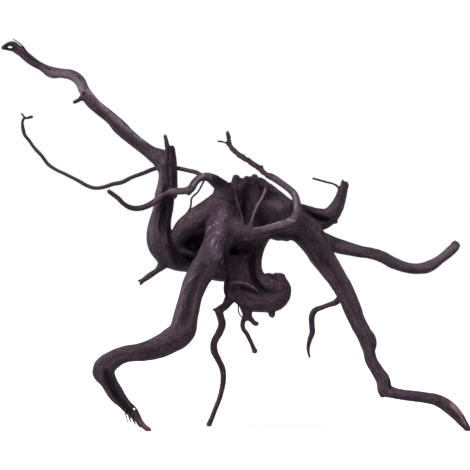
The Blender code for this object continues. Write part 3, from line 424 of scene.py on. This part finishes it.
def section(number):
    """A ridged ring of radius 1, the cross-section of a limb."""
    phase = np.random.default_rng(number).uniform(0, 2 * np.pi, len(RIDGES))
    angle = np.arange(SIDES) * 2 * np.pi / SIDES
    reach = 1 + sum(height * np.sin(count * angle + start)
                    for (count, height), start in zip(RIDGES, phase))
    outline = bpy.data.curves.new(f"section {number}", "CURVE")
    outline.dimensions = "2D"
    ring = outline.splines.new("POLY")
    ring.points.add(SIDES - 1)
    ring.use_cyclic_u = True
    for point, a, r in zip(ring.points, angle, reach):
        point.co = (r * MM * np.cos(a), r * MM * np.sin(a), 0, 1)
    guide = bpy.data.objects.new(f"section {number}", outline)
    bpy.context.scene.collection.objects.link(guide)
    return guide


def rounded(knots):
    """The knots with one more, smaller, beyond each end, so that the limb ends in a dome."""
    knots = np.array(knots, float)
    knots[:, 3] = np.maximum(knots[:, 3], THIN)
    ends = []
    for end, inner in ((knots[0], knots[1]), (knots[-1], knots[-2])):
        away = (end - inner)[:3]
        away /= np.linalg.norm(away)
        ends.append([*(end[:3] + 0.75 * end[3] * away), 0.45 * end[3]])
    return np.vstack([ends[0], knots, ends[1]])


def limb(name, knots, guide):
    """One closed limb: a curve through its knots with a ridged section that turns as it runs."""
    knots = rounded(knots)
    path = bpy.data.curves.new(name, "CURVE")
    path.dimensions = "3D"
    path.resolution_u = 6
    path.bevel_mode = "OBJECT"
    path.bevel_object = guide
    path.use_fill_caps = True
    run = path.splines.new("BEZIER")
    run.bezier_points.add(len(knots) - 1)
    run.radius_interpolation = "CARDINAL"
    length = np.concatenate([[0], np.cumsum(np.linalg.norm(np.diff(knots[:, :3], axis=0), axis=1))])
    for point, knot, travelled in zip(run.bezier_points, knots, length):
        point.co = Vector(knot[:3]) * MM
        point.radius = knot[3]
        point.tilt = TWIST * travelled
        point.handle_left_type = "AUTO"
        point.handle_right_type = "AUTO"
    curve = bpy.data.objects.new(name, path)
    bpy.context.scene.collection.objects.link(curve)
    bpy.context.view_layer.update()
    data = bpy.data.meshes.new_from_object(curve.evaluated_get(bpy.context.evaluated_depsgraph_get()))
    bpy.data.objects.remove(curve)
    return data


def bake(obj):
    """Puts what the modifiers make into the object's own mesh."""
    data = bpy.data.meshes.new_from_object(obj.evaluated_get(bpy.context.evaluated_depsgraph_get()))
    obj.modifiers.clear()
    obj.data = data


def joined(name, meshes):
    """One object of all the meshes, with the tubes' end caps welded to them."""
    whole = bmesh.new()
    for data in meshes:
        whole.from_mesh(data)
    bmesh.ops.remove_doubles(whole, verts=whole.verts, dist=1e-6)
    data = bpy.data.meshes.new(name)
    whole.to_mesh(data)
    whole.free()
    obj = bpy.data.objects.new(name, data)
    bpy.context.scene.collection.objects.link(obj)
    return obj


def add_skin(obj, cell):
    """Grows overlapping closed shapes together into one skin."""
    skin = obj.modifiers.new("skin", "REMESH")
    skin.mode = "VOXEL"
    skin.voxel_size = cell * MM


def grown_skin():
    """All the limbs in one object, grown together into one fine skin."""
    sections = [section(number) for number in range(SECTIONS)]
    limbs = {name: limb(name, knots, sections[number % SECTIONS])
             for number, (name, knots) in enumerate(LIMBS.items())}
    body = joined("body", [limbs[name] for name in BODY])
    air = joined("hollows", [limb(name, knots, sections[0]) for name, knots in HOLLOWS.items()])
    add_skin(air, BODY_CELL)
    add_skin(body, BODY_CELL)
    cut = body.modifiers.new("hollows", "BOOLEAN")
    cut.object = air
    bake(body)
    root = joined("root_wood", [body.data, *(limbs[name] for name in {**LEGS, **ARMS})])
    add_skin(root, CELL)
    bake(root)
    for guide in [*sections, body, air]:
        bpy.data.objects.remove(guide)
    return root


def places(data):
    """The vertices' positions in millimetres."""
    flat = np.empty(len(data.vertices) * 3, np.float32)
    data.vertices.foreach_get("co", flat)
    return flat.reshape(-1, 3).astype(float) / MM


def normals(data):
    """The vertices' normals."""
    flat = np.empty(len(data.vertices) * 3, np.float32)
    data.vertex_normals.foreach_get("vector", flat)
    return flat.reshape(-1, 3).astype(float)


def put(data, points):
    """Moves the vertices to new positions in millimetres."""
    data.vertices.foreach_set("co", (points * MM).astype(np.float32).ravel())
    data.update()


def edges(data):
    """The two vertices of every edge."""
    flat = np.empty(len(data.edges) * 2, np.int32)
    data.edges.foreach_get("vertices", flat)
    return flat.reshape(-1, 2)


def neighbours_mean(values, pairs):
    """Mean of a vertex value over each vertex's neighbours."""
    count = np.bincount(pairs.ravel(), minlength=len(values))
    mean = np.empty_like(values)
    for axis in range(values.shape[1]):
        column = values[:, axis]
        mean[:, axis] = (np.bincount(pairs[:, 0], column[pairs[:, 1]], len(values))
                         + np.bincount(pairs[:, 1], column[pairs[:, 0]], len(values)))
    return mean / np.maximum(count, 1)[:, None]


def centre_line(knots):
    """A limb's centre line in short steps: points, radii, length run, and a frame carried along."""
    knots = np.array(knots, float)
    knots[:, 3] = np.maximum(knots[:, 3], THIN)
    points = np.vstack([2 * knots[0] - knots[1], knots, 2 * knots[-1] - knots[-2]])
    line = []
    for i in range(1, len(points) - 2):
        a, b, c, d = points[i - 1:i + 3]
        for t in (0, 0.33, 0.67):
            line.append(0.5 * (2 * b + (c - a) * t + (2 * a - 5 * b + 4 * c - d) * t ** 2
                               + (3 * b - a - 3 * c + d) * t ** 3))
    line = np.array(line + [knots[-1]])
    step = np.diff(line[:, :3], axis=0)
    run = np.concatenate([[0], np.cumsum(np.linalg.norm(step, axis=1))])
    ahead = np.vstack([step, step[-1]])
    ahead /= np.linalg.norm(ahead, axis=1)[:, None]
    side = np.array(Vector(ahead[0]).orthogonal().normalized())
    sides = []
    for direction in ahead:
        side = side - direction * (side @ direction)
        side = side / np.linalg.norm(side)
        sides.append(side)
    sides = np.array(sides)
    return line[:, :3], line[:, 3], run, sides, np.cross(ahead, sides)


def follow_limbs(points):
    """For each point: its limb's number, place across and along that limb, radius there, and how
    much nearer it lies to that limb than to any other."""
    count = len(points)
    best = np.full(count, np.inf)
    second = np.full(count, np.inf)
    number = np.zeros(count, int)
    across = np.zeros((count, 2))
    along = np.zeros(count)
    thick = np.ones(count)
    for index, knots in enumerate(LIMBS.values()):
        centre, radius, run, side, up = centre_line(knots)
        margin = radius.max() + 10
        near = np.flatnonzero(np.all((points > centre.min(0) - margin) & (points < centre.max(0) + margin),
                                     axis=1))
        if not len(near):
            continue
        p = points[near]
        depth = np.full(len(near), np.inf)
        seg = np.zeros(len(near), int)
        part = np.zeros(len(near))
        for i in range(len(centre) - 1):
            step = centre[i + 1] - centre[i]
            t = np.clip((p - centre[i]) @ step / (step @ step), 0, 1)
            gap = (np.linalg.norm(p - centre[i] - t[:, None] * step, axis=1)
                   - radius[i] - t * (radius[i + 1] - radius[i]))
            closer = gap < depth
            depth[closer] = gap[closer]
            seg[closer] = i
            part[closer] = t[closer]
        foot = centre[seg] + part[:, None] * (centre[seg + 1] - centre[seg])
        out = p - foot
        new = depth < best[near]
        second[near] = np.where(new, best[near], np.minimum(second[near], depth))
        chosen = near[new]
        best[chosen] = depth[new]
        number[chosen] = index
        across[chosen, 0] = np.einsum("ij,ij->i", out[new], side[seg[new]])
        across[chosen, 1] = np.einsum("ij,ij->i", out[new], up[seg[new]])
        along[chosen] = (run[seg] + part * (run[seg + 1] - run[seg]))[new]
        thick[chosen] = (radius[seg] + part * (radius[seg + 1] - radius[seg]))[new]
    return number, across, along, thick, second - best


def lattice(cells, seed):
    """A number from -1 to 1 for each whole-numbered cell, always the same for the same cell."""
    mixed = (cells[:, 0] * 73856093 ^ cells[:, 1] * 19349663 ^ cells[:, 2] * 83492791 ^ seed * 2654435761)
    mixed = (mixed ^ (mixed >> 13)) * 1274126177 & 0x7FFFFFFF
    return (mixed ^ (mixed >> 16)) % 20001 / 10000 - 1


def noise(points, seed):
    """Smooth noise from -1 to 1 at each point."""
    cell = np.floor(points).astype(np.int64)
    t = points - cell
    t = t * t * (3 - 2 * t)
    value = np.zeros(len(points))
    for corner in np.ndindex(2, 2, 2):
        weight = np.prod(np.where(corner, t, 1 - t), axis=1)
        value += weight * lattice(cell + corner, seed)
    return value


def soften_joints(data):
    """Lets the limbs flow into each other, and rubs off the steps of the remesh."""
    points = places(data)
    clear = follow_limbs(points)[4]
    joint = np.clip(1 - clear / FILLET, 0, 1)[:, None]
    pairs = edges(data)
    for _ in range(POLISH):
        points += 0.5 * (neighbours_mean(points, pairs) - points)
    for _ in range(BLEND):
        points += 0.6 * joint * (neighbours_mean(points, pairs) - points)
    put(data, points)


def nearness(points, line, width, taper):
    """How near each (x, z) point is to a line: 1 on it, 0 at the given width, fading out at its ends."""
    line = np.array(line, float)
    steps = np.linalg.norm(np.diff(line, axis=0), axis=1)
    start = np.concatenate([[0], np.cumsum(steps)])
    nearest = np.full(len(points), np.inf)
    place = np.zeros(len(points))
    for i, length in enumerate(steps):
        run = line[i + 1] - line[i]
        share = np.clip((points - line[i]) @ run / length ** 2, 0, 1)
        gap = np.linalg.norm(points - line[i] - share[:, None] * run, axis=1)
        place = np.where(gap < nearest, start[i] + share * length, place)
        nearest = np.minimum(nearest, gap)
    fade = min(taper, start[-1] / 3)
    ends = np.clip((np.minimum(place, start[-1] - place) + 0.5) / (fade + 0.5), 0, 1)
    return np.clip(1 - (nearest / width) ** 2, 0, 1) ** 1.5 * ends


def furrow(data):
    """Presses the furrows and hollows into the side of the wood they are seen on."""
    points = places(data)
    facing = normals(data)[:, 1]
    shift = np.zeros(len(points))
    for side, (y_from, y_to), width, depth, line in FURROWS:
        within = np.clip(np.minimum(points[:, 1] - y_from, y_to - points[:, 1]) / 4, 0, 1)
        push = within * np.clip(side * facing * 1.6, 0, 1) * nearness(points[:, [0, 2]], line, width, TAPER)
        shift -= side * depth * push
    points[:, 1] += shift
    put(data, points)


def carve_grain(data):
    """Gives the wood its long low ridges and hollows, following each limb."""
    points = places(data)
    number, across, along, thick, _ = follow_limbs(points)
    angle = across / np.maximum(np.linalg.norm(across, axis=1), 0.1)[:, None]
    lobes = noise(np.column_stack([angle * 1.3 + number[:, None] * 3.7, along / 38]), 3)
    strands = noise(np.column_stack([angle * 3.6 + number[:, None] * 5.3, along / 30]), 5)
    fine = noise(np.column_stack([across * 1.1 + number[:, None] * 7.9, along / 9]), 7)
    lumps = noise(points / 11, 9) + 0.5 * noise(points / 5, 11)
    swell = (0.07 * thick * lobes + 0.03 * np.minimum(thick, 12) * (0.5 - np.abs(strands)) * 2
             + 0.045 * np.minimum(thick, 9) * lumps + 0.08 * fine + 0.3 * np.clip(2.4 - thick, 0, 1))
    crown = np.clip((points[:, 2] - 238) / 8, 0, 1) * (np.abs(points[:, 0] - 14) < 22)
    swell += crown * (0.9 * noise(points / 4, 13) + 0.5 * noise(points / 2, 15))
    put(data, points + normals(data) * np.clip(swell, -GRAIN_REACH, GRAIN_REACH)[:, None])


def thin_out(obj):
    """Keeps the form within the triangles allowed."""
    triangles = sum(len(face.vertices) - 2 for face in obj.data.polygons)
    if triangles > FACES:
        sparse = obj.modifiers.new("sparse", "DECIMATE")
        sparse.ratio = FACES / triangles
        bake(obj)


def level_feet(data):
    """Nothing reaches below the ground."""
    points = places(data)
    points[:, 2] = np.maximum(points[:, 2], 0)
    put(data, points)


def painted(points, facing, marks):
    """How strongly each point is marked by a list of marks on one side of the wood."""
    amount = np.zeros(len(points))
    for side, (y_from, y_to), width, strength, line in marks:
        within = np.clip(np.minimum(points[:, 1] - y_from, y_to - points[:, 1]) / 4, 0, 1)
        near = within * np.clip(side * facing * 2 + 0.5, 0, 1) * nearness(points[:, [0, 2]], line, width, 0)
        amount = np.maximum(amount, strength * near)
    return amount


def in_hollows(points):
    """How deep each point lies in one of the hollows: 0 at its brim."""
    amount = np.zeros(len(points))
    for knots in HOLLOWS.values():
        centre, radius = centre_line(knots)[:2]
        away = np.linalg.norm(points[:, None] - centre, axis=2) - radius
        inside = np.clip(1 - away.min(axis=1) / 2, 0, 1)
        depth = np.clip((points[:, 1] + 24) / 8, 0, 1)
        amount = np.maximum(amount, inside * depth)
    return amount


def label(data):
    """Stores what the material follows: the marks, most of them painted light and shade, place in the
    limb's grain, and crest against hollow.
    """
    points = places(data)
    facing = normals(data)[:, 1]
    # The dark marks and the darkened insides of the hollows are painted shade, the pale marks painted light
    # and the bright flecks painted highlights; bare wood and rot are the wood's own colour.
    for name, marks in (("dark", PAINTED_SHADE_AND_DARK), ("pale", PAINTED_LIGHT), ("painted_highlight", PAINTED_HIGHLIGHTS), ("bare", BARE), ("rot", ROT)):
        amount = painted(points, facing, marks)
        if name == "dark":
            amount = np.maximum(amount, HOLLOW_SHADE * in_hollows(points))
        amount = amount.astype(np.float32)
        data.attributes.new(name, "FLOAT", "POINT").data.foreach_set("value", amount)
    number, across, along, thick, _ = follow_limbs(points)
    grain = np.column_stack([across + number[:, None] * 31.7, along + number * 17.3])
    pairs = edges(data)
    bulge = points - neighbours_mean(points, pairs)
    length = np.linalg.norm(points[pairs[:, 0]] - points[pairs[:, 1]], axis=1)
    crest = np.einsum("ij,ij->i", bulge, normals(data)) / length.mean()
    crest = crest[:, None]
    for _ in range(8):
        crest = 0.4 * crest + 0.6 * neighbours_mean(crest, pairs)
    grain = grain.astype(np.float32).ravel()
    crest = crest.astype(np.float32).ravel()
    data.attributes.new("grain", "FLOAT_VECTOR", "POINT").data.foreach_set("vector", grain)
    data.attributes.new("crest", "FLOAT", "POINT").data.foreach_set("value", crest)


def link(tree, start, end):
    """Joins two sockets."""
    tree.links.new(start, end)


def node(tree, kind, **settings):
    """A shader node with its settings."""
    made = tree.nodes.new(kind)
    for name, value in settings.items():
        setattr(made, name, value)
    return made


def reckon(tree, operation, *terms):
    """A sum, product or the like of sockets and plain numbers, kept between 0 and 1."""
    made = node(tree, "ShaderNodeMath", operation=operation, use_clamp=True)
    for socket, term in zip(made.inputs, terms):
        if isinstance(term, (int, float)):
            socket.default_value = term
        else:
            link(tree, term, socket)
    return made.outputs[0]


def spread(tree, source, low, high, top=1.0):
    """What of a value lies between low and high, from 0 to top."""
    made = node(tree, "ShaderNodeMapRange")
    made.inputs["From Min"].default_value = low
    made.inputs["From Max"].default_value = high
    made.inputs["To Max"].default_value = top
    link(tree, source, made.inputs["Value"])
    return made.outputs["Result"]


def turned(tree, colour, tint, amount):
    """A colour turned towards a tint by an amount."""
    made = node(tree, "ShaderNodeMix", data_type="RGBA", blend_type="MIX")
    made.inputs["B"].default_value = (*tint, 1)
    link(tree, amount, made.inputs["Factor"])
    link(tree, colour, made.inputs["A"])
    return made.outputs["Result"]


def ramp(tree, source, stops):
    """A colour ramp over a value."""
    made = node(tree, "ShaderNodeValToRGB")
    band = made.color_ramp
    while len(band.elements) < len(stops):
        band.elements.new(0.5)
    for element, (place, colour) in zip(band.elements, stops):
        element.position = place
        element.color = (*colour, 1)
    link(tree, source, made.inputs["Fac"])
    return made.outputs["Color"]


def grain_noise(tree, coordinates, across, along, detail, roughness=0.55):
    """Noise by the millimetre, drawn out along the limb where along is smaller than across."""
    stretch = node(tree, "ShaderNodeVectorMath", operation="MULTIPLY")
    stretch.inputs[1].default_value = (across, across, along)
    link(tree, coordinates, stretch.inputs[0])
    texture = node(tree, "ShaderNodeTexNoise")
    texture.inputs["Scale"].default_value = 1
    texture.inputs["Detail"].default_value = detail
    texture.inputs["Roughness"].default_value = roughness
    link(tree, stretch.outputs[0], texture.inputs["Vector"])
    return texture.outputs["Fac"]


def dull_shader(tree):
    """The wood's surface: rough, with next to no shine."""
    shader = tree.nodes["Principled BSDF"]
    shader.inputs["Roughness"].default_value = 0.6
    shader.inputs["Specular IOR Level"].default_value = 0.05
    return shader


def marked(tree, colour, edge, tints):
    """A colour with the marks of each kind laid on it, ragged where the edge texture is low."""
    for name, strength, tint in tints:
        mark = node(tree, "ShaderNodeAttribute", attribute_name=name).outputs["Fac"]
        ragged = reckon(tree, "MULTIPLY_ADD", mark, 1.8, spread(tree, edge, 0.65, 0.35, -0.8))
        colour = turned(tree, colour, tint, reckon(tree, "MULTIPLY", ragged, strength))
    return colour


def wood_material():
    """Dark purple-brown root wood: streaked along the grain, blotched, tan where it is bare, with painted
    shade in the hollows and grooves and painted light and highlights on the lit sides and crests.
    """
    material = bpy.data.materials.new("dark root wood")
    material.use_nodes = True
    tree = material.node_tree
    shader = dull_shader(tree)
    grain = node(tree, "ShaderNodeAttribute", attribute_name="grain").outputs["Vector"]
    crest = node(tree, "ShaderNodeAttribute", attribute_name="crest").outputs["Fac"]
    streaks = grain_noise(tree, grain, 0.28, 0.05, 5, 0.6)
    patches = grain_noise(tree, grain, 0.06, 0.02, 2)
    fibres = grain_noise(tree, grain, 2.2, 0.12, 4, 0.65)
    blotches = grain_noise(tree, grain, 0.32, 0.2, 6, 0.7)
    specks = grain_noise(tree, grain, 0.75, 0.5, 3, 0.6)
    dust = grain_noise(tree, grain, 1.3, 0.55, 3, 0.7)

    colour = ramp(tree, streaks, STREAKS)
    colour = turned(tree, colour, REDDISH, spread(tree, patches, 0.52, 0.75, 0.8))
    # The pale marks laid on here are painted light.
    colour = marked(tree, colour, blotches, UNDER)
    colour = turned(tree, colour, BLEACHED, spread(tree, blotches, 0.54, 0.70, 0.6))
    colour = turned(tree, colour, DIRT_AND_GROOVE_SHADE, spread(tree, specks, 0.56, 0.70, 0.7))
    colour = turned(tree, colour, DUST, spread(tree, dust, 0.52, 0.70, 0.75))
    colour = turned(tree, colour, PITS, spread(tree, dust, 0.48, 0.32, 0.75))
    # Paler on the crests: painted highlight.
    colour = turned(tree, colour, CREST_HIGHLIGHT, spread(tree, crest, 0.03, 0.25, 0.7))
    # Darker in the grooves: painted shade.
    colour = turned(tree, colour, DIRT_AND_GROOVE_SHADE, spread(tree, crest, -0.03, -0.20, 0.7))
    # The flecks laid on here are painted highlights, and the dark marks mostly painted shade.
    colour = marked(tree, colour, blotches, OVER)
    link(tree, colour, shader.inputs["Base Color"])

    rough = node(tree, "ShaderNodeBump")
    rough.inputs["Strength"].default_value = 0.45
    rough.inputs["Distance"].default_value = 0.0012
    link(tree, blotches, rough.inputs["Height"])
    fine = node(tree, "ShaderNodeBump")
    fine.inputs["Strength"].default_value = 0.5
    fine.inputs["Distance"].default_value = 0.0008
    link(tree, fibres, fine.inputs["Height"])
    link(tree, rough.outputs["Normal"], fine.inputs["Normal"])
    link(tree, fine.outputs["Normal"], shader.inputs["Normal"])
    return material


def strand_material():
    """Loose dark hairs and fibres."""
    material = bpy.data.materials.new("loose strands")
    material.use_nodes = True
    tree = material.node_tree
    shader = dull_shader(tree)
    where = node(tree, "ShaderNodeTexCoord").outputs["Object"]
    colour = ramp(tree, grain_noise(tree, where, 300, 300, 3), [(0.35, (0.008, 0.005, 0.007)),
                                                               (0.65, (0.026, 0.018, 0.022))])
    link(tree, colour, shader.inputs["Base Color"])
    return material


def strands():
    """The hairs and fibres as thin tubes in one piece."""
    path = bpy.data.curves.new("root_strands", "CURVE")
    path.dimensions = "3D"
    path.resolution_u = 4
    path.bevel_depth = MM
    path.bevel_resolution = 2
    path.use_fill_caps = True
    for knots in STRANDS:
        run = path.splines.new("BEZIER")
        run.bezier_points.add(len(knots) - 1)
        for point, (x, y, z, radius) in zip(run.bezier_points, knots):
            point.co = Vector((x, y, z)) * MM
            point.radius = radius
            point.handle_left_type = "AUTO"
            point.handle_right_type = "AUTO"
    obj = bpy.data.objects.new("root_strands", path)
    bpy.context.scene.collection.objects.link(obj)
    obj.data.materials.append(strand_material())
    return obj


def camera():
    """Level, straight in front of the wood."""
    data = bpy.data.cameras.new("camera")
    data.lens = LENS
    data.sensor_width = SENSOR
    data.clip_end = 50
    view = bpy.data.objects.new("camera", data)
    view.location = (0, -PICTURE * LENS / SENSOR * MM, CAMERA_HEIGHT)
    view.rotation_euler = (math.radians(90), 0, 0)
    bpy.context.scene.collection.objects.link(view)
    bpy.context.scene.camera = view


def studio():
    """White all round, one large soft light from above, a lamp on each side, and a wide pale floor."""
    world = bpy.data.worlds.new("studio")
    world.use_nodes = True
    tree = world.node_tree
    surround = tree.nodes["Background"]
    surround.inputs["Color"].default_value = (1, 1, 1, 1)
    ray = node(tree, "ShaderNodeLightPath")
    level = node(tree, "ShaderNodeMapRange")
    level.inputs["To Min"].default_value = AMBIENT
    level.inputs["To Max"].default_value = 1.0
    link(tree, ray.outputs["Is Camera Ray"], level.inputs["Value"])
    link(tree, level.outputs["Result"], surround.inputs["Strength"])
    bpy.context.scene.world = world
    sun = bpy.data.lights.new("key", "SUN")
    sun.energy = KEY
    sun.angle = KEY_WIDTH
    key = bpy.data.objects.new("key", sun)
    key.rotation_euler = Vector(KEY_FROM).to_track_quat("Z", "Y").to_euler()
    bpy.context.scene.collection.objects.link(key)
    for name, place in RIMS.items():
        data = bpy.data.lights.new(name, "AREA")
        data.size = RIM_SIZE
        data.energy = RIM_POWER
        lamp = bpy.data.objects.new(name, data)
        lamp.location = place
        lamp.rotation_euler = (Vector(place) - Vector((0, 0, 0.2))).to_track_quat("Z", "Y").to_euler()
        bpy.context.scene.collection.objects.link(lamp)

    mesh = bmesh.new()
    bmesh.ops.create_grid(mesh, x_segments=1, y_segments=1, size=FLOOR)
    sheet = bpy.data.meshes.new("floor")
    mesh.to_mesh(sheet)
    mesh.free()
    floor = bpy.data.objects.new("floor", sheet)
    bpy.context.scene.collection.objects.link(floor)
    paper = bpy.data.materials.new("white paper")
    paper.use_nodes = True
    paper.node_tree.nodes["Principled BSDF"].inputs["Base Color"].default_value = (0.5, 0.5, 0.5, 1)
    paper.node_tree.nodes["Principled BSDF"].inputs["Roughness"].default_value = 0.9
    floor.data.materials.append(paper)


LIMBS = {**BODY, **LEGS, **ARMS}
bpy.context.scene.view_settings.view_transform = "Standard"
camera()
studio()
wood = grown_skin()
soften_joints(wood.data)
furrow(wood.data)
carve_grain(wood.data)
thin_out(wood)
level_feet(wood.data)
wood.data.shade_smooth()
label(wood.data)
wood.data.materials.clear()
wood.data.materials.append(wood_material())
loose = strands()
for piece in (wood, loose):
    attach(piece, "root")
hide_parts(NODE)
